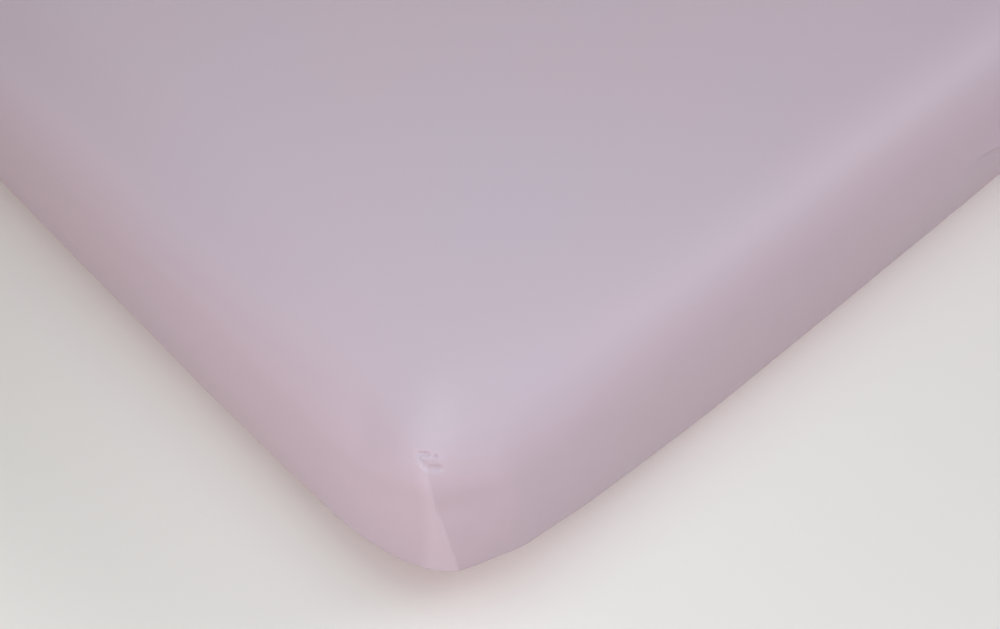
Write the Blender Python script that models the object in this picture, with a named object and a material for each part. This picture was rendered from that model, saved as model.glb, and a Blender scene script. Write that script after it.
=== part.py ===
"""Fitted sheet stretched over a plain single mattress, in metres, +Z up.

The origin is on the floor under the middle of the mattress, X runs across it and Y along it.
The sheet is one cloth: a top with four skirts, joined by a lapped seam at each corner, and a
hem that turns under the mattress. Every skin is the same lofted form, moved inwards from the
outside of the cloth, so the cloth and the mattress lie against each other all over.
"""

import math

import bmesh
import bpy
from mathutils import Vector

# Driving dimensions of the covered mattress
WIDTH = 0.90
LENGTH = 2.00
HEIGHT = 0.205

# Cloth, and the air between it and the mattress
CLOTH = 0.002
HEM_CLOTH = 0.003
GAP = 0.0005

# Cross-section, from the middle of the top to the hem
CROWN = 0.004  # rise of the top towards its flat middle, from its edge to this far in
CROWN_IN = 0.208
SHOULDER_IN = 0.083  # soft edge of the top: how far in and how far down it reaches
SHOULDER_DROP = 0.054
SHOULDER_POWER = 2.5
WALL_BULGE = 0.003
TUCK_IN = 0.020  # lower edge, drawn in towards the floor
TUCK_RISE = 0.072
HEM_IN = 0.150  # how far in under the mattress the hem lies
HEM_WIDTH = 0.016

# The wall's head, how far the wall leans at its head and foot, as a slope, and how far in from
# there the soft edge of the top ends and the foot meets the floor
WALL_HEAD = HEIGHT - CROWN - SHOULDER_DROP
WALL_LEAN = WALL_BULGE * math.pi / (WALL_HEAD - TUCK_RISE)
HEAD_TILT = math.pi / 2 - math.atan(WALL_LEAN)
EDGE_IN = SHOULDER_IN + WALL_LEAN * SHOULDER_DROP
FOOT_IN = TUCK_IN + WALL_LEAN * TUCK_RISE

# Levels of the section: shares of the crown, and degrees of turn of each soft edge
CROWN_SHARES = (1.0, 0.5, 0.2)
SHOULDER_DEGREES = (84, 66, 50, 36, 24, 12)
WALL_SHARES = (0.0, 0.5, 1.0)
TUCK_DEGREES = (18, 36, 54, 72, 90)

# Plan
SIDE_BOW_LONG = 0.005  # how much narrower the ends are than the middle
SIDE_BOW_SHORT = 0.006
CROWN_CORNER = 0.060  # corner radii, from the top's flat middle down
TOP_CORNER = 0.006
WALL_CORNER = 0.071
TUCK_CORNER = 0.170
HEM_CORNER = 0.180

# Corners, drawn in and up by the hem's elastic
CORNER_REACH = 0.240
CORNER_DRAW = 0.002
CORNER_LIFT = 0.016
UNDER_EASING = 0.7  # how much less of both the hem has than the lower edge

# Corner seam: the cloth on one side laps over the other
LAP_RISE = 0.0018
LAP_WIDTH = 0.014
LAP_EDGE = 0.0015
SEAM_SHIFT_REACH = 0.120
SEAM_START = 0.25  # shares of the soft edge's turn where the seam starts and where it is whole
SEAM_WHOLE = 0.55

# One row for each corner, anticlockwise: its angle in plan, and how far along the edge the
# seam lies from the middle of the corner, at the top edge, at the head, the middle and the
# foot of the wall, and on the floor
CORNERS = (
    # angle, at_top, at_head, at_middle, at_foot, at_floor
    (-45, 0.003, 0.000, -0.006, -0.014, -0.010),
    (45, -0.004, -0.001, 0.007, 0.016, 0.008),
    (135, 0.002, 0.001, -0.007, -0.012, -0.014),
    (225, -0.0095, 0.0015, 0.0093, 0.0122, 0.0060),
)

# A corner's own shape on the wall, the same for all four: its seam stands out a little, and the
# cloth is drawn flat on both sides of it. How far the cloth stands out from the plain corner, by
# how far along the edge from the seam
CORNER_SHAPE = (
    # along, out
    (-0.100, 0.0),
    (-0.072, -0.0003),
    (-0.049, -0.0024),
    (-0.030, -0.0013),
    (-0.018, 0.0),
    (0.0, 0.0012),
    (0.012, -0.0008),
    (0.026, -0.0018),
    (0.045, 0.0001),
    (0.070, -0.0005),
    (0.100, 0.0),
)

# Columns of points at a corner: how far along the edge from its seam, and the share of the
# gathers' rise that the hem has there
CORNER_COLUMNS = (
    # along, gather
    (-0.240, 0.0),
    (-0.190, 1.0),
    (-0.150, 0.0),
    (-0.115, 1.0),
    (-0.085, 0.0),
    (-0.060, 1.0),
    (-0.040, 0.0),
    (-0.025, 0.8),
    (-LAP_WIDTH, 0.2),
    (-0.007, 0.0),
    (-LAP_EDGE, 0.0),
    (0.0, 0.0),
    (0.012, 0.8),
    (0.026, 0.0),
    (0.044, 1.0),
    (0.068, 0.0),
    (0.098, 1.0),
    (0.135, 0.0),
    (0.180, 1.0),
    (0.235, 0.0),
)
GATHER_RISE = 0.004
GATHER_LENGTH = 0.035  # from where the gathers start to the hem
GATHER_AT_STITCHES = 0.7  # share of their rise that they have where the hem is stitched
STEPS_ALONG_END = 3  # columns between two corners, across the mattress and along it
STEPS_ALONG_SIDE = 9
CORNER_SHARE = 0.88  # of half a short edge, the most that a corner's columns take up
SIDES_ALONG_Y = (-45, 135)  # the corners at the start of a long side

# Underside of the mattress: it gives way above the hem and rests on the floor inside it
RECESS_RISE = 0.010
RECESS_START = 0.045
RECESS_SLOPE = 0.025
REST_LEVEL = 0.0003

SHARP_EDGE_DEGREES = 40  # edges with more turn than this are shaded sharp
SHEET_COLOUR = (0.54, 0.43, 0.50, 1.0)
TICKING_COLOUR = (0.80, 0.78, 0.74, 1.0)
CLOTH_ROUGHNESS = 0.85


def fade(value):
    """0 up to 0, 1 from 1 on, and a smooth rise between."""
    t = min(1.0, max(0.0, value))
    return t * t * (3 - 2 * t)


def station(inset, height, tilt, corner, drawn=0.0, seam=1.0, down=0.0, gather=0.0):
    """One level of the section. tilt is the slope of the cloth in radians, 0 where it lies
    facing up and pi where it faces down. drawn is the share of the corner's draw and lift, seam
    the share of the lap's rise and of the corner's own shape, and gather the share of the hem's
    gathers. down is the level's place on the seam: 0 at the top edge, 1, 2 and 3 at the head,
    middle and foot of the wall, and 4 on the floor."""
    return {"inset": inset, "height": height, "tilt": tilt, "corner": corner, "drawn": drawn,
            "seam": seam, "down": down, "gather": gather}


def crown_rise(inset):
    """Height and slope of the crown this far in from the wall's head."""
    left = 1 - inset / CROWN_IN
    return CROWN * (1 - left * left), 2 * CROWN / CROWN_IN * left


def top_stations():
    """The top: from the rim of its flat middle to where the soft edge begins."""
    rows = []
    for share in CROWN_SHARES:
        inset = EDGE_IN + (CROWN_IN - EDGE_IN) * share
        rise, slope = crown_rise(inset)
        corner = TOP_CORNER + (CROWN_CORNER - TOP_CORNER) * share
        rows.append(station(inset, HEIGHT - CROWN + rise, math.atan(slope), corner, seam=0.0))
    return rows


def shoulder_stations():
    """The soft edge of the top, a quarter of a superellipse that leans as the wall's head does."""
    rows = []
    power = 2 / SHOULDER_POWER
    for degrees in SHOULDER_DEGREES:
        angle = math.radians(degrees)
        across = math.cos(angle) ** power
        up = math.sin(angle) ** power
        inset = SHOULDER_IN * (1 - across) + WALL_LEAN * SHOULDER_DROP * up
        fall = SHOULDER_DROP * (across / up) ** (SHOULDER_POWER - 1)
        rise, slope = crown_rise(inset)
        tilt = math.atan(fall / (SHOULDER_IN + WALL_LEAN * fall) + slope)
        turned = tilt / HEAD_TILT
        corner = TOP_CORNER + (WALL_CORNER - TOP_CORNER) * turned
        seam = fade((turned - SEAM_START) / (SEAM_WHOLE - SEAM_START))
        rows.append(station(inset, WALL_HEAD + SHOULDER_DROP * up + rise, tilt, corner,
                            seam=seam, down=turned))
    return rows


def wall_stations():
    """The wall, which bulges a little between its soft edges."""
    rows = []
    for share in WALL_SHARES:
        bulge = WALL_BULGE * math.sin(math.pi * share)
        tilt = math.pi / 2 - math.atan(WALL_LEAN * math.cos(math.pi * share))
        rows.append(station(-bulge, WALL_HEAD + (TUCK_RISE - WALL_HEAD) * share, tilt, WALL_CORNER,
                            down=1 + 2 * share))
    return rows


def tuck_stations():
    """The lower edge, a quarter of an ellipse that leans as the wall's foot does and ends flat
    on the floor."""
    rows = []
    for degrees in TUCK_DEGREES:
        angle = math.radians(degrees)
        turned = math.sin(angle)
        inset = TUCK_IN * (1 - math.cos(angle)) + WALL_LEAN * TUCK_RISE * turned
        fall = TUCK_RISE * math.cos(angle)
        tilt = math.pi / 2 + math.atan2(TUCK_IN * turned + WALL_LEAN * fall, fall)
        corner = WALL_CORNER + (TUCK_CORNER - WALL_CORNER) * turned
        rows.append(station(inset, TUCK_RISE * (1 - turned), tilt, corner, drawn=turned,
                            down=3 + turned))
    return rows


def under_corner(share):
    """Corner radius under the mattress, this share of the way from the lower edge to the hem."""
    return TUCK_CORNER + (HEM_CORNER - TUCK_CORNER) * share


def under_drawn(share):
    """Share of a corner's draw and lift, at the same place."""
    return 1 - UNDER_EASING * share


def flange_stations():
    """The cloth under the mattress, flat on the floor from the lower edge to the hem."""
    rows = []
    hem_start = HEM_IN - HEM_WIDTH
    for inset, gather in (
        (RECESS_START, 0.0),
        (hem_start - GATHER_LENGTH, 0.0),
        (hem_start, GATHER_AT_STITCHES),
        (HEM_IN, 1.0),
    ):
        share = (inset - FOOT_IN) / (HEM_IN - FOOT_IN)
        rows.append(station(inset, 0.0, math.pi, under_corner(share), drawn=under_drawn(share),
                            seam=0.0, down=4.0, gather=gather))
    return rows


def edge_point(row, depth, angle, along):
    """A point of one level, this far along its edge from the middle of a corner."""
    corner = row["corner"]
    centre = row["inset"] + corner
    radius = corner - depth * math.sin(row["tilt"])
    height = row["height"] - depth * math.cos(row["tilt"])
    half = corner * math.pi / 4
    on_arc = max(-half, min(half, along))
    turn = math.radians(angle) + on_arc / corner
    straight = along - on_arc
    side_x = math.copysign(1, math.cos(math.radians(angle)))
    side_y = math.copysign(1, math.sin(math.radians(angle)))
    x = side_x * (WIDTH / 2 - centre) + radius * math.cos(turn) - straight * math.sin(turn)
    y = side_y * (LENGTH / 2 - centre) + radius * math.sin(turn) + straight * math.cos(turn)
    pull = max(0.0, 1 - (along / CORNER_REACH) ** 2) ** 2 * row["drawn"]
    x -= side_x * CORNER_DRAW * pull * math.sqrt(0.5)
    y -= side_y * CORNER_DRAW * pull * math.sqrt(0.5)
    narrowing = 1 - SIDE_BOW_LONG / (WIDTH / 2) * abs(2 * y / LENGTH) ** 3
    shortening = 1 - SIDE_BOW_SHORT / (LENGTH / 2) * abs(2 * x / WIDTH) ** 3
    return Vector((x * narrowing, y * shortening, height + CORNER_LIFT * pull))


def seam_at(seam, down):
    """How far along the edge a corner's seam lies, at this place on it."""
    last = min(int(down), len(seam) - 2)
    return seam[last] + (seam[last + 1] - seam[last]) * (down - last)


def lap_rise(from_seam):
    """How far the lapped side of a corner seam stands above the other."""
    if from_seam >= 0:
        return 0.0
    if from_seam > -LAP_EDGE:
        return -LAP_RISE * from_seam / LAP_EDGE
    return LAP_RISE * fade((from_seam + 2 * LAP_WIDTH) / (2 * LAP_WIDTH - LAP_EDGE))


def shape_at(from_seam):
    """How far out the cloth stands beside a corner's seam."""
    for (start, out), (end, following) in zip(CORNER_SHAPE, CORNER_SHAPE[1:]):
        if start <= from_seam < end:
            return out + (following - out) * (from_seam - start) / (end - start)
    return 0.0


def half_edge(row, side):
    """Half the length of one level's edge, from the middle of a corner to the middle of a side."""
    return side / 2 - row["inset"] - row["corner"] * (1 - math.pi / 4)


def column_scale(row):
    """How much closer a corner's columns stand, where the edge is short."""
    return min(1.0, CORNER_SHARE * half_edge(row, WIDTH) / -CORNER_COLUMNS[0][0])


def level(row, depth, outside):
    """The closed loop of points of one level, anticlockwise from the first corner."""
    loop = []
    scale = column_scale(row)
    for angle, *seam in CORNERS:
        shift = seam_at(seam, row["down"])
        for step, gather in CORNER_COLUMNS:
            along = step * scale + shift * fade(1 - abs(step) / SEAM_SHIFT_REACH)
            out = shape_at(step) + (lap_rise(step) if outside else 0.0)
            point = edge_point(row, depth - out * row["seam"], angle, along)
            point.z += GATHER_RISE * gather * row["gather"]
            loop.append(point)
        loop += side_points(row, depth, angle)
    return loop


def side_points(row, depth, angle):
    """The points between the last column of the corner at this angle and the next corner's first."""
    up_a_side = angle in SIDES_ALONG_Y
    half = half_edge(row, LENGTH if up_a_side else WIDTH)
    start = CORNER_COLUMNS[-1][0] * column_scale(row)
    end = 2 * half + CORNER_COLUMNS[0][0] * column_scale(row)
    steps = STEPS_ALONG_SIDE if up_a_side else STEPS_ALONG_END
    points = []
    for step in range(1, steps + 1):
        along = start + (end - start) * step / (steps + 1)
        if along <= half:
            points.append(edge_point(row, depth, angle, along))
        else:
            points.append(edge_point(row, depth, angle + 90, along - 2 * half))
    return points


def lofted(name, outwards, back, material):
    """A closed solid through the loops on its way outwards and those on its way back, with the
    first and last loop filled. Faces are split alike on both ways, so that skins stay parallel."""
    bm = bmesh.new()
    rings = [[bm.verts.new(point) for point in loop] for loop in outwards + back]
    for number, (ring, following) in enumerate(zip(rings, rings[1:])):
        if number >= len(outwards):
            ring, following = following, ring
        for i in range(len(ring)):
            j = (i + 1) % len(ring)
            bm.faces.new((ring[i], following[i], following[j]))
            bm.faces.new((ring[i], following[j], ring[j]))
    bm.faces.new(rings[0])
    bm.faces.new(rings[-1])
    bmesh.ops.triangulate(bm, faces=[face for face in bm.faces if len(face.verts) > 4])
    bmesh.ops.recalc_face_normals(bm, faces=bm.faces)
    mesh = bpy.data.meshes.new(name)
    bm.to_mesh(mesh)
    bm.free()
    mesh.shade_smooth()
    mesh.set_sharp_from_angle(angle=math.radians(SHARP_EDGE_DEGREES))
    mesh.materials.append(material)
    obj = bpy.data.objects.new(name, mesh)
    bpy.context.scene.collection.objects.link(obj)
    return obj


def cloth_material(name, colour):
    material = bpy.data.materials.new(name)
    material.use_nodes = True
    shader = material.node_tree.nodes["Principled BSDF"]
    shader.inputs["Base Color"].default_value = colour
    shader.inputs["Roughness"].default_value = CLOTH_ROUGHNESS
    shader.inputs["Metallic"].default_value = 0.0
    return material


def body_stations():
    return top_stations() + shoulder_stations() + wall_stations() + tuck_stations()


def fitted_sheet():
    """The cloth: its outside from the top to the hem, then its inside back to the top."""
    rows = body_stations() + flange_stations()
    outside = [level(row, 0.0, True) for row in rows]
    hem_rows = 2
    thickness = [CLOTH] * (len(rows) - hem_rows) + [HEM_CLOTH] * hem_rows
    inside = [level(row, depth, False) for row, depth in zip(rows, thickness)]
    return lofted("fitted_sheet", outside, inside[::-1], cloth_material("sheet_cotton", SHEET_COLOUR))


def mattress_underside():
    """Levels of the mattress's underside: flat on the cloth, up over the hem, down to the floor."""
    rows = []
    clear = CLOTH + GAP
    for inset, height in (
        (RECESS_START, clear),
        (RECESS_START + RECESS_SLOPE, RECESS_RISE),
        (HEM_IN + RECESS_SLOPE / 2, RECESS_RISE),
        (HEM_IN + 2 * RECESS_SLOPE, REST_LEVEL),
    ):
        share = min(1.0, (inset - FOOT_IN) / (HEM_IN - FOOT_IN))
        drawn = under_drawn(share) if height > REST_LEVEL else 0.0
        rows.append(station(inset, height, math.pi, under_corner(share), drawn=drawn, seam=0.0,
                            down=4.0))
    return rows


def mattress():
    """A plain padded block that fills the sheet."""
    body = [level(row, CLOTH + GAP, False) for row in body_stations()]
    underside = [level(row, 0.0, False) for row in mattress_underside()]
    return lofted("mattress", body + underside, [], cloth_material("mattress_ticking", TICKING_COLOUR))


def main():
    for obj in list(bpy.data.objects):
        bpy.data.objects.remove(obj)
    fitted_sheet()
    mattress()


main()
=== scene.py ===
import math

import bpy
import numpy as np
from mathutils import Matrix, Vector, geometry, noise


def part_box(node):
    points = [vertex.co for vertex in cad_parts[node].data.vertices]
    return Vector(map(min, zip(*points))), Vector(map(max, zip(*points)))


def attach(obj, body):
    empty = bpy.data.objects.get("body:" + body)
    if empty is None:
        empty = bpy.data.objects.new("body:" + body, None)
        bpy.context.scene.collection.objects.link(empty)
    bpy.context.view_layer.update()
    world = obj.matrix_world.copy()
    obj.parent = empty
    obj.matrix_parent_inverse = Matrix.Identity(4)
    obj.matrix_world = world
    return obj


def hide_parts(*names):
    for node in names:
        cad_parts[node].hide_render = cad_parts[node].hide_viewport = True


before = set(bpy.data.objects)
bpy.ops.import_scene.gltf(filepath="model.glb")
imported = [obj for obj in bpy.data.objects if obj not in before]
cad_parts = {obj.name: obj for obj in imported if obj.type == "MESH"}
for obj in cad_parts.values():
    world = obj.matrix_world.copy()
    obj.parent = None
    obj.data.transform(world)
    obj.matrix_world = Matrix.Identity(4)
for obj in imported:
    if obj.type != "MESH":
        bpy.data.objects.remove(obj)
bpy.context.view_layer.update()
bpy.ops.object.select_all(action="DESELECT")
print("frame loaded")

low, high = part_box("fitted_sheet")

# The covered mattress, in metres. Every skin is this form, moved in from the outside of the cloth.
bed = {
    "crown": 0.004,          # rise of the top towards its flat middle, from its edge to this far in
    "crownIn": 0.208,
    "shoulderIn": 0.083,     # soft top edge: how far in and down it reaches
    "shoulderDrop": 0.054,
    "shoulderPower": 2.5,
    "shoulderSamples": 4001,
    "bulge": 0.003,          # walls stand out this far in the middle
    "tuckIn": 0.020,         # lower edge, drawn in towards the floor
    "tuckRise": 0.072,
    "hemIn": 0.150,
    "bowLong": 0.005,        # ends narrower than the middle
    "bowShort": 0.006,
    "crownCorner": 0.060,    # corner radii in plan, from the top's flat middle down
    "topCorner": 0.006,
    "wallCorner": 0.071,
    "tuckCorner": 0.170,
    "hemCorner": 0.180,
    "cornerReach": 0.240,    # corners pulled in and up by the elastic
    "cornerDraw": 0.002,
    "cornerLift": 0.016,
    "underEasing": 0.7,      # share of that pull which is gone at the hem
    "seamShiftReach": 0.120,     # how far from its plain place a seam moves the columns beside it
    "cornerShare": 0.88,     # of half a short edge, the most that a corner's columns take up
    "lapComes": (0.42, 0.10),    # where on the top edge the lap starts, and over how much of the turn
    "shapeComes": (0.25, 0.40),  # the same for the corner's own shape,
    "shapeGoes": (0.0, 0.3),     # and where under the mattress it goes again
}
bed["width"] = high.x - low.x - 2 * bed["bulge"]
bed["length"] = high.y - low.y - 2 * bed["bulge"]
bed["height"] = high.z - low.z
bed["wallHead"] = bed["height"] - bed["crown"] - bed["shoulderDrop"]
bed["wallLean"] = bed["bulge"] * math.pi / (bed["wallHead"] - bed["tuckRise"])
bed["edgeIn"] = bed["shoulderIn"] + bed["wallLean"] * bed["shoulderDrop"]
bed["footIn"] = bed["tuckIn"] + bed["wallLean"] * bed["tuckRise"]

# Corner seams, anticlockwise: angle in plan, and where the seam is along the edge, at the top edge,
# at the head, the middle and the foot of the wall, and on the floor
seams = [
    {"angle": -45, "along": (0.003, 0.000, -0.006, -0.014, -0.010)},
    {"angle": 45, "along": (-0.004, -0.001, 0.007, 0.016, 0.008)},
    {"angle": 135, "along": (0.002, 0.001, -0.007, -0.012, -0.014)},
    {"angle": 225, "along": (-0.0095, 0.0015, 0.0093, 0.0122, 0.0060)},
]


def fade(value):
    t = np.clip(value, 0.0, 1.0)
    return t * t * (3 - 2 * t)


def grown(value, window):
    # 0 up to the window's start, and 1 from its length past that
    start, length = window
    return float(fade((value - start) / length))


# How far out a corner stands from its plain round, before its seam and after it: the cloth is drawn flat
shapeBefore = [
    # along, out
    (-0.100, 0.0),
    (-0.072, -0.0003),
    (-0.049, -0.0024),
    (-0.030, -0.0013),
    (-0.018, 0.0),
    (0.0, 0.0012),
]
shapeAfter = [
    # along, out
    (0.0, 0.0012),
    (0.026, -0.0018),
    (0.045, 0.0001),
    (0.070, -0.0005),
    (0.100, 0.0),
]


def smoothAt(table, places):
    # a smooth curve through the points of a table, level past its ends
    x, y = np.array(table).T
    chords = np.diff(y) / np.diff(x)
    slopes = (y[2:] - y[:-2]) / (x[2:] - x[:-2])
    slopes = np.concatenate([[2 * chords[0] - slopes[0]], slopes, [2 * chords[-1] - slopes[-1]]])
    places = np.clip(places, x[0], x[-1])
    i = np.clip(np.searchsorted(x, places) - 1, 0, len(x) - 2)
    width = x[i + 1] - x[i]
    t = (places - x[i]) / width
    return (y[i] + (y[i + 1] - y[i]) * t * t * (3 - 2 * t)
            + width * t * (1 - t) * (slopes[i] * (1 - t) - slopes[i + 1] * t))


def station(inset, height, tilt, corner, drawn=0.0, lap=1.0, shaped=1.0, down=0.0, gather=0.0):
    # one level: drawn, lap, shaped and gather are its shares of what the corner, the lap, the corner's own
    # shape and the gathers do, and down is its place on the seam, from 0 at the top edge to 4 on the floor
    return {"inset": inset, "height": height, "tilt": tilt, "corner": corner, "drawn": drawn,
            "lap": lap, "shaped": shaped, "down": down, "gather": gather}


def crownRise(inset):
    # height and slope of the crown, this far in from the wall's head
    left = 1 - inset / bed["crownIn"]
    return bed["crown"] * (1 - left * left), 2 * bed["crown"] / bed["crownIn"] * left


def crownRows(count):
    rows = []
    for share in np.linspace(1.0, 0.0, count, endpoint=False):
        inset = bed["edgeIn"] + (bed["crownIn"] - bed["edgeIn"]) * share
        rise, slope = crownRise(inset)
        corner = bed["topCorner"] + (bed["crownCorner"] - bed["topCorner"]) * share
        height = bed["height"] - bed["crown"] + rise
        rows.append(station(float(inset), float(height), math.atan(slope), float(corner), lap=0.0,
                            shaped=0.0))
    return rows


def shoulderRows(bands):
    # quarter of a superellipse that leans as the wall does, with this many even steps up to each slope
    power = 2 / bed["shoulderPower"]
    angles = np.linspace(math.pi / 2, 0, bed["shoulderSamples"])
    across, up = np.cos(angles) ** power, np.sin(angles) ** power
    inset = bed["shoulderIn"] * (1 - across) + bed["wallLean"] * bed["shoulderDrop"] * up
    rise, crownSlope = crownRise(inset)
    height = bed["wallHead"] + bed["shoulderDrop"] * up + rise
    fall = bed["shoulderDrop"] * (across / np.maximum(up, 1e-6)) ** (bed["shoulderPower"] - 1)
    tilts = np.arctan(fall / (bed["shoulderIn"] + bed["wallLean"] * fall) + crownSlope)
    run = np.concatenate([[0], np.cumsum(np.hypot(np.diff(inset), np.diff(height)))])
    lengths = []
    reached = 0.0
    for tilt, count in bands:
        upTo = float(np.interp(tilt, tilts, run))
        lengths += list(np.linspace(reached, upTo, count, endpoint=False))
        reached = upTo
    rows = []
    for length in lengths:
        i = int(np.searchsorted(run, length))
        turned = float(tilts[i] / tilts[-1])
        corner = bed["topCorner"] + (bed["wallCorner"] - bed["topCorner"]) * turned
        rows.append(station(float(inset[i]), float(height[i]), float(tilts[i]), corner,
                            lap=grown(turned, bed["lapComes"]), shaped=grown(turned, bed["shapeComes"]),
                            down=turned))
    return rows


def wallRows(bands):
    # each band is a share of the wall, from its head, and the number of even steps up to there
    shares = []
    reached = 0.0
    for upTo, count in bands:
        shares += list(np.linspace(reached, upTo, count, endpoint=False))
        reached = upTo
    rows = []
    for share in shares:
        tilt = math.pi / 2 - math.atan(bed["wallLean"] * math.cos(math.pi * share))
        height = bed["wallHead"] + (bed["tuckRise"] - bed["wallHead"]) * share
        inset = -bed["bulge"] * math.sin(math.pi * share)
        rows.append(station(inset, float(height), tilt, bed["wallCorner"], down=1 + 2 * float(share)))
    return rows


def tuckRows(count):
    rows = []
    for angle in np.linspace(0, math.pi / 2, count):
        turned = math.sin(angle)
        inset = bed["tuckIn"] * (1 - math.cos(angle)) + bed["wallLean"] * bed["tuckRise"] * turned
        fall = bed["tuckRise"] * math.cos(angle)
        tilt = math.pi / 2 + math.atan2(bed["tuckIn"] * turned + bed["wallLean"] * fall, fall)
        corner = bed["wallCorner"] + (bed["tuckCorner"] - bed["wallCorner"]) * turned
        height = bed["tuckRise"] * (1 - turned)
        rows.append(station(inset, height, tilt, corner, drawn=turned, down=3 + turned))
    return rows


def underRow(inset, height, gather=0.0):
    # under the mattress, facing down
    share = min(1.0, (inset - bed["footIn"]) / (bed["hemIn"] - bed["footIn"]))
    corner = bed["tuckCorner"] + (bed["hemCorner"] - bed["tuckCorner"]) * share
    drawn = 1 - bed["underEasing"] * share
    shaped = 1 - grown(share, bed["shapeGoes"])
    return station(inset, height, math.pi, corner, drawn=drawn, shaped=shaped, down=4.0, gather=gather)


def seamAt(places, down):
    # a smooth curve through a seam's places, one for each whole number of down
    i = min(int(down), len(places) - 2)
    t = down - i
    before, after = places[max(i - 1, 0)], places[min(i + 2, len(places) - 1)]
    a, b = places[i], places[i + 1]
    cubic = 3 * (a - b) + after - before
    squared = 2 * before - 5 * a + 4 * b - after
    return a + t * (b - before + t * (squared + t * cubic)) / 2


def columnsOf(bands, longSpacing, shortSpacing):
    # columns round the bed: those of a corner by their step from its seam, then those of the side after it
    steps = []
    reached = 0.0
    for upTo, spacing in bands:
        count = max(1, round((upTo - reached) / spacing))
        steps += list(reached + (upTo - reached) * np.arange(1, count + 1) / count)
        reached = upTo
    cornerSteps = [-s for s in reversed(steps)] + [0.0] + steps
    columns = []
    for number, seam in enumerate(seams):
        side, spacing = bed["width"], shortSpacing
        if seam["angle"] in (-45, 135):
            side, spacing = bed["length"], longSpacing
        columns += [{"seam": number, "step": s, "share": None, "side": side} for s in cornerSteps]
        count = round((side - 2 * reached) / spacing)
        for k in range(1, count):
            columns.append({"seam": number, "step": reached, "share": k / count, "side": side})
    return columns


def loopOf(row, columns, depth):
    # one level of a skin: its points, the way that the cloth faces there, and their places along the edge
    angle = np.array([seams[c["seam"]]["angle"] for c in columns], float)
    step = np.array([c["step"] for c in columns])
    side = np.array([c["side"] for c in columns])
    share = np.array([-1.0 if c["share"] is None else c["share"] for c in columns])
    shift = np.array([seamAt(seams[c["seam"]]["along"], row["down"]) for c in columns])
    corner = row["corner"]
    half = corner * math.pi / 4
    length = 2 * (side / 2 - row["inset"] - corner + half)
    scale = min(1.0, bed["cornerShare"] * float(length.min()) / 2 / bed["cornerReach"])
    along = step * scale + shift * fade(1 - np.abs(step) / bed["seamShiftReach"])
    onSide = share >= 0
    along = np.where(onSide, step * scale + (length - 2 * step * scale) * share, along)
    fromSeam = np.where(onSide, along, step)
    past = onSide & (along > length / 2)
    angle = np.where(past, angle + 90, angle)
    along = np.where(past, along - length, along)
    fromSeam = np.where(past, along, fromSeam)
    onArc = np.clip(along, -half, half)
    turn = np.radians(angle) + onArc / corner
    straight = along - onArc
    out = np.where(fromSeam < 0, smoothAt(shapeBefore, fromSeam), smoothAt(shapeAfter, fromSeam))
    depth = depth - row["shaped"] * out
    radius = corner - depth * math.sin(row["tilt"])
    sideX = np.sign(np.cos(np.radians(angle)))
    sideY = np.sign(np.sin(np.radians(angle)))
    centre = row["inset"] + corner
    x = sideX * (bed["width"] / 2 - centre) + radius * np.cos(turn) - straight * np.sin(turn)
    y = sideY * (bed["length"] / 2 - centre) + radius * np.sin(turn) + straight * np.cos(turn)
    pull = np.maximum(0, 1 - (along / bed["cornerReach"]) ** 2) ** 2 * row["drawn"]
    x = x - sideX * bed["cornerDraw"] * pull * math.sqrt(0.5)
    y = y - sideY * bed["cornerDraw"] * pull * math.sqrt(0.5)
    narrowing = 1 - bed["bowLong"] / (bed["width"] / 2) * np.abs(2 * y / bed["length"]) ** 3
    shortening = 1 - bed["bowShort"] / (bed["length"] / 2) * np.abs(2 * x / bed["width"]) ** 3
    x = x * narrowing
    y = y * shortening
    z = row["height"] - depth * math.cos(row["tilt"]) + bed["cornerLift"] * pull
    normal = np.stack([math.sin(row["tilt"]) * np.cos(turn), math.sin(row["tilt"]) * np.sin(turn),
                       np.full(len(x), math.cos(row["tilt"]))], 1)
    return {"points": np.stack([x, y, z], 1), "normals": normal, "along": along, "fromSeam": fromSeam,
            "angle": angle}


def clothPlace(row, loop, run, panel):
    # where each point was on the flat cut, if it belongs to the panel before (-1) or after (+1) its seam
    angle = np.radians(loop["angle"] + 45 * panel)
    acrossHalf = np.where(np.abs(np.sin(angle)) > 0.5, bed["length"], bed["width"]) / 2
    sideHalf = (bed["length"] + bed["width"]) / 2 - acrossHalf
    middle = loop["along"] - panel * (sideHalf - row["inset"] - row["corner"] * (1 - math.pi / 4))
    out = acrossHalf - bed["crownIn"] + run
    x = out * np.cos(angle) - middle * np.sin(angle)
    y = out * np.sin(angle) + middle * np.cos(angle)
    flat = np.stack([x, y], 1)
    steep = grown(row["tilt"], sheet["cutTilts"])
    return flat * steep + loop["points"][:, :2] * (1 - steep)


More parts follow.
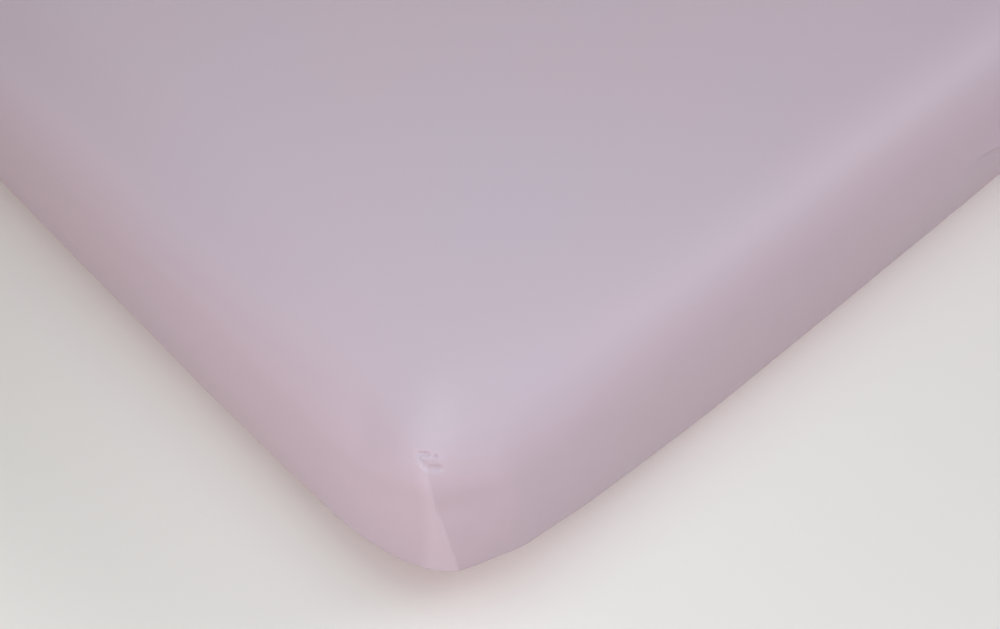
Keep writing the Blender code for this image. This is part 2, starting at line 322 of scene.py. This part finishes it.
sheet = {
    "thickness": 0.0011,
    "lapRise": 0.0008,       # the skirt before each seam rises over the one after it
    "lapFoot": 0.6,          # share of the rise that is left at the floor
    "lapWidths": (0.010, 0.026),   # at the top of the seam and at its foot
    "lapWidens": (0.4, 3.0),       # from where on the seam it widens, and over how much of it
    "lapEases": (1.0, 2.5),        # the same for its rise and its tone
    "lapPower": 1.3,
    "lapEdge": 0.0006,
    "lapBlend": 0.009,       # how gradually the paler band starts to show, where the cloth lies double and partly painted light
    "doubleAndLitShows": (0.62, 1.0),    # how much its paler tone shows, at the top of the seam and at its foot: double cloth, and partly painted light
    "columnBands": [         # up to this far from each seam, and the distance between columns there
        (0.0072, 0.0006),
        (0.0105, 0.0011),
        (0.020, 0.0016),
        (0.060, 0.0042),
        (0.140, 0.009),
        (0.240, 0.014),
    ],
    "longSpacing": 0.0185,   # and between them, along the long and the short sides
    "shortSpacing": 0.012,
    "centreSpacing": 0.03,   # of the points that fill the middle of the top,
    "centreMargins": (0.6, 0.5),   # and how many such steps they keep from its edge, at either end
    "crownCount": 7,
    "shoulderBands": [(0.48, 9), (0.61, 8), (0.88, 30), (1.0, 6), (1.571, 12)],   # close where seams end
    "wallBands": [(0.34, 4), (0.64, 14), (1.0, 5)],    # and at the fold on the short side
    "tuckCount": 11,
    "flangeCount": 14,
    "hemWidth": 0.016,
    "gatherFrom": 0.085,     # how far in under the mattress the gathers start
    "gatherRise": 0.0042,
    "gatherPitch": 0.036,
    "gatherDrift": (5.0, 2.2),     # changes of pitch per metre, and by how much of a turn, in radians
    "gatherSize": (9.0, 0.75, 0.5),    # changes of size per metre, the mean size and how far it changes
    "insideTurn": 0.16,      # the inside has fewer rows: one for about this much turn, in radians,
    "insideRun": 0.050,      # and one for this much length
    "insideShare": 0.9,      # share of such a step at which a row is kept
    "apexTilt": 0.80,        # slope of the cloth, in radians, where the top of each seam is
    "cutTilts": (0.0, 0.6),  # slopes over which its pattern comes to follow the flat cut
    "calmTilt": 0.6,         # waves and folds fade out over this last turn to the underside
    "waves": [(2.2, 0.0004), (6.5, 0.00012)],   # waves per metre, height: the cloth is never quite even
}

# Small puckers where each seam ends on the top edge, in metres along the edge and down from there.
# turn is in degrees from the edge's direction, and depth is inwards.
puckers = [
    # along, down, length, width, turn, depth
    (-0.0012, -0.0064, 0.0080, 0.0013, -8, 0.0016),
    (-0.0034, -0.0036, 0.0036, 0.0009, 74, 0.0010),
    (-0.0008, -0.0006, 0.0078, 0.0008, 92, 0.0017),
    (0.0045, 0.0014, 0.0078, 0.0020, 0, 0.0020),
    (0.0060, -0.0058, 0.0014, 0.0009, 80, 0.0010),
    (0.0039, -0.0020, 0.0020, 0.0008, 20, 0.0005),
    (-0.0030, 0.0026, 0.0070, 0.0016, 40, -0.0004),
    (-0.0024, -0.0042, 0.0024, 0.0006, 50, -0.0006),
    (-0.0015, -0.0021, 0.0024, 0.0006, 60, -0.0006),
    (0.0004, -0.0033, 0.0024, 0.0006, 100, -0.0006),
]

# Soft folds on the walls. side is the angle that the wall faces, along is from its middle.
folds = [
    # side, along, height, length, width, turn, depth
    (270, 0.122, 0.1050, 0.120, 0.0034, -11, -0.0044),
    (270, 0.122, 0.1115, 0.120, 0.0068, -11, -0.0026),
    (270, 0.250, 0.1350, 0.120, 0.0100, 8, -0.0010),
    (0, -0.700, 0.0900, 0.150, 0.0110, 24, -0.0012),
    (0, 0.620, 0.1050, 0.170, 0.0120, -17, -0.0011),
    (0, 0.050, 0.0800, 0.240, 0.0150, 4, 0.0008),
    (90, -0.180, 0.0950, 0.130, 0.0100, 20, -0.0012),
    (90, 0.220, 0.1100, 0.120, 0.0090, -14, -0.0010),
    (180, -0.560, 0.0950, 0.160, 0.0110, 15, -0.0011),
    (180, 0.300, 0.0820, 0.220, 0.0140, -5, 0.0008),
]


def creaseAt(alongs, downs, length, width, turn):
    # 1 on the crease's line and 0 away from it, with soft ends
    a, b = math.cos(math.radians(turn)), math.sin(math.radians(turn))
    t = alongs * a + downs * b
    w = downs * a - alongs * b
    return np.exp(-(w / width) ** 2) * fade((0.5 * length + width - np.abs(t)) / (0.35 * length + width))


def lapWidth(down):
    narrow, wide = sheet["lapWidths"]
    return narrow + (wide - narrow) * grown(down, sheet["lapWidens"])


def lapAt(fromSeam, down):
    ramp = np.clip(1 + fromSeam / lapWidth(down), 0, 1) ** sheet["lapPower"]
    return sheet["lapRise"] * np.minimum(ramp, np.clip(-fromSeam / sheet["lapEdge"], 0, 1))


def doubleAndLitBandAt(fromSeam, down):
    # a paler tone where the cloth lies double, before the seam, and partly painted light on that side of the
    # seam; it shows more towards the floor
    top, foot = sheet["doubleAndLitShows"]
    shown = top + (foot - top) * grown(down, sheet["lapEases"])
    return np.where(fromSeam > 0, 0.0, shown * fade((fromSeam + lapWidth(down)) / sheet["lapBlend"]))


def wavesAt(points):
    found = np.zeros(len(points))
    start = Vector((7.3, 1.9, 4.1))
    for perMetre, height in sheet["waves"]:
        found += height * np.array([noise.noise(Vector(p) * perMetre + start) for p in points])
    return found


def foldsAt(points, normals):
    found = np.zeros(len(points))
    for side, along, height, length, width, turn, depth in folds:
        face = np.array([math.cos(math.radians(side)), math.sin(math.radians(side))])
        facing = fade((normals[:, :2] @ face - 0.7) / 0.2)
        alongs = points[:, 1] * face[0] - points[:, 0] * face[1]
        found += depth * facing * creaseAt(alongs - along, points[:, 2] - height, length, width, turn)
    return found


def gathersAt(run):
    # uneven pleats of the hem, along the bed's edge
    perMetre, turns = sheet["gatherDrift"]
    drift = np.array([turns * noise.noise(Vector((r * perMetre, 3.0, 0.0))) for r in run])
    wave = np.sin(2 * math.pi * run / sheet["gatherPitch"] + drift)
    perMetre, mean, change = sheet["gatherSize"]
    size = np.array([mean + change * noise.noise(Vector((r * perMetre, 8.0, 0.0))) for r in run])
    return (0.5 + 0.5 * wave) * size


def centreOf(ring, spacing, margins):
    # triangles that fill the middle of the top, inside the ring of points
    start = ring[:, :2].min(0) + spacing * margins[0]
    end = ring[:, :2].max(0) - spacing * margins[1]
    countX, countY = ((end - start) / spacing).astype(int) + 1
    inside = [(start[0] + i * spacing, start[1] + j * spacing) for i in range(countX) for j in range(countY)]
    count = len(ring)
    flat = [Vector(p) for p in ring[:, :2]] + [Vector(p) for p in inside]
    edges = [(i, (i + 1) % count) for i in range(count)]
    points, _, faces, _, _, _ = geometry.delaunay_2d_cdt(flat, edges, [], 1, 1e-7)
    return [tuple(p) for p in points], faces


def makeMesh(name, points, faces, clothUv=None, values=None):
    mesh = bpy.data.meshes.new(name)
    mesh.from_pydata([tuple(p) for p in points], [], faces)
    if clothUv is not None:
        layer = mesh.uv_layers.new(name="cloth")
        layer.data.foreach_set("uv", np.asarray(clothUv, np.float32).ravel())
    for key, data in (values or {}).items():
        mesh.attributes.new(key, "FLOAT", "POINT").data.foreach_set("value", np.asarray(data, np.float32))
    mesh.validate()
    mesh.update()
    piece = bpy.data.objects.new(name, mesh)
    bpy.context.scene.collection.objects.link(piece)
    return piece


def finishMesh(piece):
    bpy.ops.object.select_all(action="DESELECT")
    piece.select_set(True)
    bpy.context.view_layer.objects.active = piece
    bpy.ops.object.mode_set(mode="EDIT")
    bpy.ops.mesh.select_all(action="SELECT")
    bpy.ops.mesh.normals_make_consistent(inside=False)
    bpy.ops.object.mode_set(mode="OBJECT")
    bpy.ops.object.shade_smooth_by_angle(angle=math.radians(50))
    piece.select_set(False)


def skinOf(rows, columns, depth):
    loops = [loopOf(row, columns, depth) for row in rows]
    profile = np.array([(row["inset"], row["height"]) for row in rows])
    run = np.concatenate([[0], np.cumsum(np.hypot(*np.diff(profile, axis=0).T))])
    return loops, run


def ringFaces(rowCount, columnCount):
    faces = []
    for i in range(rowCount - 1):
        for j in range(columnCount):
            k = (j + 1) % columnCount
            here, below = i * columnCount, (i + 1) * columnCount
            faces.append((here + j, below + j, below + k, here + k))
    return faces


def makeSheet():
    rows = crownRows(sheet["crownCount"]) + shoulderRows(sheet["shoulderBands"])
    rows += wallRows(sheet["wallBands"]) + tuckRows(sheet["tuckCount"])
    hemStart = bed["hemIn"] - sheet["hemWidth"]
    gatherFrom = sheet["gatherFrom"]
    for inset in np.linspace(bed["footIn"], bed["hemIn"], sheet["flangeCount"] + 1)[1:]:
        gather = grown(inset, (gatherFrom, hemStart - gatherFrom))
        rows.append(underRow(float(inset), 0.0, gather=gather))
    columns = columnsOf(sheet["columnBands"], sheet["longSpacing"], sheet["shortSpacing"])
    loops, run = skinOf(rows, columns, 0.0)
    count = len(columns)
    tilts = [row["tilt"] for row in rows]
    first = sheet["crownCount"]
    last = tilts.index(max(tilt for tilt in tilts if tilt < 1.5))
    apexRun = float(np.interp(sheet["apexTilt"], tilts[first:last], run[first:last]))

    hemLoop = loops[-1]["points"]
    hemRun = np.concatenate([[0], np.cumsum(np.linalg.norm(np.diff(hemLoop, axis=0), axis=1))])
    pleats = gathersAt(hemRun)
    inner = []
    for row, loop, length in zip(rows, loops, run):
        points, normals, fromSeam = loop["points"], loop["normals"], loop["fromSeam"]
        lower = 1 - (1 - sheet["lapFoot"]) * grown(row["down"], sheet["lapEases"])
        out = lapAt(fromSeam, row["down"]) * row["lap"] * lower
        for along, down, size, width, turn, depth in puckers:
            out -= depth * creaseAt(fromSeam - along, length - apexRun - down, size, width, turn)
        steady = float(fade((math.pi - row["tilt"]) / sheet["calmTilt"]))
        if steady:
            out = out + wavesAt(points) * steady - foldsAt(points, normals)
        loop["points"] = points + normals * out[:, None]
        loop["points"][:, 2] += sheet["gatherRise"] * row["gather"] * pleats
        inner.append(loop["points"] - normals * sheet["thickness"])
    print("sheet shaped,", len(rows), "rows of", count)

    # the inside keeps the wall's head and foot, and the last row, where the skins meet at the hem's edge
    kept = [i for i, row in enumerate(rows) if row["down"] in (1, 3)] + [len(rows) - 1]
    inside = [0]
    for i in range(1, len(rows)):
        turn = abs(tilts[i] - tilts[inside[-1]]) / sheet["insideTurn"]
        if i in kept or turn + (run[i] - run[inside[-1]]) / sheet["insideRun"] > sheet["insideShare"]:
            inside.append(i)
    outer = [loop["points"] for loop in loops]
    points = np.concatenate(outer + [inner[i] for i in inside])
    source = list(range(len(rows))) + inside
    faces = ringFaces(len(rows), count)
    start = len(rows) * count
    faces += [tuple(start + i for i in reversed(face)) for face in ringFaces(len(inside), count)]
    lastOut, lastIn = start - count, start + (len(inside) - 1) * count
    for j in range(count):
        k = (j + 1) % count
        faces.append((lastOut + j, lastIn + j, lastIn + k, lastOut + k))
    panelUv = {panel: [clothPlace(row, loop, length, panel) for row, loop, length in zip(rows, loops, run)]
               for panel in (-1, 1)}
    uv = []
    for face in faces:
        turned = {corner % count for corner in face}
        for corner in face:
            row, column = source[corner // count], corner % count
            panel = -1 if loops[row]["fromSeam"][column] < 0 else 1
            if columns[column]["share"] is None and columns[column]["step"] == 0:
                panel = 1 if (column + 1) % count in turned else -1
            uv.append(panelUv[panel][row][column])

    centre, centreFaces = centreOf(loops[0]["points"], sheet["centreSpacing"], sheet["centreMargins"])
    added = centre[count:]
    rise = bed["height"] + wavesAt([(p[0], p[1], bed["height"]) for p in added])
    for depth, firstRing, isOutside in ((0.0, 0, True), (sheet["thickness"], start, False)):
        base = len(points)
        points = np.concatenate([points, np.array([(p[0], p[1], z - depth) for p, z in zip(added, rise)])])
        for face in centreFaces:
            renamed = tuple(firstRing + i if i < count else base + i - count for i in face)
            faces.append(renamed if isOutside else tuple(reversed(renamed)))
            uv += [points[i][:2] for i in faces[-1]]
    toHem = [np.full(count, run[-1] - run[i]) for i in source]
    # the paler band before each seam: double cloth, and partly painted light
    overlap = [doubleAndLitBandAt(loops[i]["fromSeam"], rows[i]["down"]) * rows[i]["lap"] for i in source]
    toHem.append(np.ones(2 * len(added)))
    overlap.append(np.zeros(2 * len(added)))
    values = {"toHem": np.concatenate(toHem), "overlap": np.concatenate(overlap)}
    piece = makeMesh("sheetCloth", points, faces, uv, values)
    finishMesh(piece)
    return piece, run


mattress = {
    "clear": 0.0040,         # from the outside of the cloth to the mattress
    "recessRise": 0.010,     # its underside stands this high over the hem, and comes down inside it
    "recessStart": 0.045,
    "recessSlope": 0.025,
    "restLevel": 0.0003,
    "settles": (0.5, 1.5),   # in slopes: how far past the hem it starts to come down, and over how much
    "columnBands": [(0.240, 0.014)],
    "longSpacing": 0.045,
    "shortSpacing": 0.045,
    "crownCount": 3,
    "shoulderBands": [(1.571, 10)],
    "wallBands": [(1.0, 6)],
    "tuckCount": 7,
    "underCount": 18,
}


def makeMattress():
    body = crownRows(mattress["crownCount"]) + shoulderRows(mattress["shoulderBands"])
    body += wallRows(mattress["wallBands"]) + tuckRows(mattress["tuckCount"])
    columns = columnsOf(mattress["columnBands"], mattress["longSpacing"], mattress["shortSpacing"])
    points = [loopOf(row, columns, mattress["clear"])["points"] for row in body]
    start, slope = mattress["recessStart"], mattress["recessSlope"]
    late, over = mattress["settles"]
    underEnd = bed["hemIn"] + (late + over) * slope
    for inset in np.linspace(bed["footIn"], underEnd, mattress["underCount"] + 1)[1:]:
        up = fade((inset - start) / slope)
        height = mattress["clear"] + (mattress["recessRise"] - mattress["clear"]) * up
        settled = fade((inset - bed["hemIn"] - late * slope) / (over * slope))
        row = underRow(float(inset), float(height + (mattress["restLevel"] - height) * settled))
        row["drawn"] *= 1 - float(settled)
        points.append(loopOf(row, columns, 0.0)["points"])
    count = len(columns)
    faces = ringFaces(len(points), count)
    last = (len(points) - 1) * count
    faces += [tuple(range(count)), tuple(range(last, last + count))]
    piece = makeMesh("mattressCover", np.concatenate(points), faces)
    finishMesh(piece)
    return piece


class Sock:
    # a socket that can be used in sums
    def __init__(self, tree, socket):
        self.tree, self.socket = tree, socket

    def maths(self, operation, *values):
        return self.tree.add("ShaderNodeMath", {"operation": operation}, dict(enumerate(values))).out(0)

    def __add__(self, other):
        return self.maths("ADD", self, other)

    def __radd__(self, other):
        return self.maths("ADD", other, self)

    def __sub__(self, other):
        return self.maths("SUBTRACT", self, other)

    def __rsub__(self, other):
        return self.maths("SUBTRACT", other, self)

    def __mul__(self, other):
        return self.maths("MULTIPLY", self, other)

    def __rmul__(self, other):
        return self.maths("MULTIPLY", other, self)

    def __truediv__(self, other):
        return self.maths("DIVIDE", self, other)

    def sine(self):
        return self.maths("SINE", self)

    def size(self):
        return self.maths("ABSOLUTE", self)

    def part(self):
        return self.maths("FRACT", self)

    def below(self, other):
        return self.maths("LESS_THAN", self, other)


class NodeOf:
    def __init__(self, tree, node):
        self.tree, self.node = tree, node

    def out(self, name):
        return Sock(self.tree, self.node.outputs[name])


class Tree:
    def __init__(self, name):
        self.material = bpy.data.materials.new(name)
        self.material.use_nodes = True
        self.nodes = self.material.node_tree.nodes
        self.shader = self.nodes["Principled BSDF"]

    def add(self, kind, settings=None, values=None):
        node = self.nodes.new(kind)
        for key, value in (settings or {}).items():
            if key == "stops":
                while len(node.color_ramp.elements) < len(value):
                    node.color_ramp.elements.new(0.5)
                for element, (place, colour) in zip(node.color_ramp.elements, value):
                    element.position = place
                    element.color = colour
            else:
                setattr(node, key, value)
        for key, value in (values or {}).items():
            self.give(node.inputs[key], value)
        return NodeOf(self, node)

    def give(self, socket, value):
        if isinstance(value, Sock):
            self.material.node_tree.links.new(value.socket, socket)
        else:
            socket.default_value = value

    def finish(self, values):
        for key, value in values.items():
            self.give(self.shader.inputs[key], value)
        return self.material

    def band(self, value, start, end):
        # 0 to 1 between two values
        return self.add("ShaderNodeMapRange", {"interpolation_type": "SMOOTHSTEP"},
                        {"Value": value, "From Min": start, "From Max": end}).out("Result")

    def cloudy(self, place, scale, detail):
        return self.add("ShaderNodeTexNoise", {}, {"Vector": place, "Scale": scale, "Detail": detail}).out(0)

    def mixed(self, share, first, second):
        return self.add("ShaderNodeMix", {"data_type": "RGBA"}, {0: share, 6: first, 7: second}).out(2)


cotton = {
    "lilac": (0.544, 0.437, 0.507, 1),
    "pink": (0.554, 0.438, 0.500, 1),
    # paler where the cloth lies double, and partly painted light
    "doubleAndLit": (0.626, 0.509, 0.588, 1),
    # painted shade in the stitch dents
    "stitchShade": (0.46, 0.37, 0.44, 1),
    "slubTone": (0.48, 0.39, 0.46, 1),
    # painted shade in the gaps between the threads
    "gapShade": (0.40, 0.31, 0.37, 1),
    "thread": 0.00042,       # from one thread to the next
    "slubScales": ((60, 1400, 1), (1400, 60, 1)),    # long along the threads, either way
    "stitchIn": 0.0145,      # from the hem's edge to its row of stitches
    "stitchPitch": 0.0035,
    "stitchShare": 0.72,     # of the pitch, which the thread covers
    "ruchePitch": 0.009,
    "roughness": 0.5,
}


def cottonMaterial():
    tree = Tree("lilacCotton")
    uv = tree.add("ShaderNodeUVMap", {"uv_map": "cloth"}).out("UV")
    place = tree.add("ShaderNodeSeparateXYZ", {}, {0: uv})
    u, v = place.out("X"), place.out("Y")
    toHem = tree.add("ShaderNodeAttribute", {"attribute_name": "toHem"}).out("Fac")
    overlap = tree.add("ShaderNodeAttribute", {"attribute_name": "overlap"}).out("Fac")
    turns = 2 * math.pi / cotton["thread"]
    weave = (u * turns).sine() * (v * turns).sine()
    slubs = []
    for stretch in cotton["slubScales"]:
        stretched = tree.add("ShaderNodeMapping", {}, {"Vector": uv, "Scale": stretch}).out(0)
        slubs.append(tree.cloudy(stretched, 1.0, 1.0))
    slub = slubs[0] + slubs[1] - 1.0
    mottled = tree.cloudy(uv, 5.0, 3.0)
    tone = tree.mixed(tree.band(mottled, 0.35, 0.65), cotton["lilac"], cotton["pink"])
    # the paler band before each seam: double cloth, and partly painted light
    tone = tree.mixed(overlap, tone, cotton["doubleAndLit"])
    stitchRow = tree.band((toHem - cotton["stitchIn"]).size(), 0.0006, 0.0003)
    stitch = stitchRow * ((u + v) / cotton["stitchPitch"]).part().below(cotton["stitchShare"])
    # painted shade in the stitch dents
    tone = tree.mixed(stitch * 0.3, tone, cotton["stitchShade"])
    tone = tree.mixed(tree.band(slub, 0.1, 0.5) * 0.10, tone, cotton["slubTone"])
    # painted shade in the gaps between the threads of the weave
    tone = tree.mixed(tree.band(weave, 0.1, -0.9) * 0.18, tone, cotton["gapShade"])
    ruched = ((u + v) * (2 * math.pi / cotton["ruchePitch"])).sine() * tree.band(toHem, 0.015, 0.012)
    height = weave * 0.000008 + slub * 0.00006 + stitch * 0.0003 + ruched * 0.0006
    bump = tree.add("ShaderNodeBump", {}, {"Height": height, "Strength": 0.6, "Distance": 1.0}).out(0)
    return tree.finish({
        "Base Color": tone,
        "Roughness": cotton["roughness"] + slub * 0.06,
        "Normal": bump,
        "Specular IOR Level": 0.5,
    })


ticking = {
    "light": (0.80, 0.78, 0.74, 1),
    "dark": (0.76, 0.73, 0.68, 1),
    "twill": 0.0011,         # from one rib to the next
    "roughness": 0.85,
}


def tickingMaterial():
    tree = Tree("plainTicking")
    place = tree.add("ShaderNodeTexCoord").out("Object")
    parts = tree.add("ShaderNodeSeparateXYZ", {}, {0: place})
    x, y, z = parts.out("X"), parts.out("Y"), parts.out("Z")
    twill = ((x + y + z) * (2 * math.pi / ticking["twill"])).sine()
    cloudy = tree.cloudy(place, 9.0, 4.0)
    tone = tree.mixed(tree.band(cloudy, 0.3, 0.7), ticking["light"], ticking["dark"])
    height = twill * 0.00008 + cloudy * 0.0006
    bump = tree.add("ShaderNodeBump", {}, {"Height": height, "Strength": 0.6, "Distance": 1.0}).out(0)
    return tree.finish({
        "Base Color": tone,
        "Roughness": ticking["roughness"] + (cloudy - 0.5) * 0.1,
        "Normal": bump,
        "Sheen Weight": 0.2,
    })


sheetPiece, sheetRun = makeSheet()
sheetPiece.data.materials.append(cottonMaterial())
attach(sheetPiece, "root")
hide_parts("fitted_sheet")
print("sheet made,", len(sheetPiece.data.polygons), "faces")

mattressPiece = makeMattress()
mattressPiece.data.materials.append(tickingMaterial())
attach(mattressPiece, "root")
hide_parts("mattress")
print("mattress made")

flatWidth = bed["width"] - 2 * bed["crownIn"] + 2 * sheetRun[-1]
flatLength = flatWidth + bed["length"] - bed["width"]
notch = sheetRun[-1] - bed["crownIn"]
flatWidth * flatLength - 4 * notch ** 2
print("flat cut %.3f x %.3f m, corner notches %.3f m" % (flatWidth, flatLength, notch))

studio = {
    "lens": 57.6,            # millimetres
    "sensor": 36,
    "stand": (-0.7158, -1.3502, 0.9584),
    "pitch": 37.18,
    "heading": -42.36,
    "floorColour": (0.87, 0.835, 0.80, 1),
    "floorSize": 60,
    "floorLevel": -0.0004,
    "airColour": (1.0, 0.98, 0.92, 1),
    "air": 0.30,
}

# Soft boxes: where each stands, what it points at, its sides and its power
white = (1.0, 1.0, 1.0)
lamps = [
    # name, at, to, size, watts, colour
    ("farRight", (0.93, -1.79, 1.24), (-0.35, -0.90, 0.15), 0.8, 11.0, (0.93, 0.92, 1.0)),
    ("overCorner", (-0.50, -1.05, 0.95), (-0.42, -0.95, 0.20), 0.5, 2.7, (0.65, 0.94, 1.0)),
    ("beforeCorner", (-1.25, -1.45, 0.75), (-0.45, -1.00, 0.15), 0.6, 6.4, (1.0, 0.86, 0.89)),
    ("behind", (1.50, 2.30, 1.50), (0.35, 0.90, 0.10), 1.2, 12.0, white),
    ("behindLeft", (-1.90, 1.20, 1.30), (-0.40, 0.30, 0.10), 1.2, 8.0, white),
    ("lowEnd", (0.50, 3.10, 0.75), (0.0, 1.0, 0.10), 1.2, 12.0, white),
    ("lowSide", (2.50, 0.70, 0.70), (0.45, 0.40, 0.10), 1.2, 12.0, white),
]


def makeStudio():
    bpy.ops.mesh.primitive_plane_add(size=studio["floorSize"], location=(0, 0, studio["floorLevel"]))
    floor = bpy.context.active_object
    floor.name = "floor"
    tree = Tree("paleFloor")
    floor.data.materials.append(tree.finish({"Base Color": studio["floorColour"], "Roughness": 0.9,
                                             "Specular IOR Level": 0.1}))
    world = bpy.data.worlds.new("air")
    bpy.context.scene.world = world
    world.use_nodes = True
    air = world.node_tree.nodes["Background"]
    air.inputs["Color"].default_value = studio["airColour"]
    air.inputs["Strength"].default_value = studio["air"]
    for name, at, to, size, watts, colour in lamps:
        turn = (Vector(to) - Vector(at)).to_track_quat("-Z", "Y").to_euler()
        bpy.ops.object.light_add(type="AREA", location=at, rotation=turn)
        light = bpy.context.active_object
        light.name = name
        light.data.shape = "SQUARE"
        light.data.size = size
        light.data.energy = watts
        light.data.color = colour
    turn = (math.radians(studio["pitch"]), 0, math.radians(studio["heading"]))
    bpy.ops.object.camera_add(location=studio["stand"], rotation=turn)
    camera = bpy.context.active_object
    camera.data.lens = studio["lens"]
    camera.data.sensor_width = studio["sensor"]
    bpy.context.scene.camera = camera
    bpy.context.scene.view_settings.view_transform = "Standard"


makeStudio()
print("studio ready")
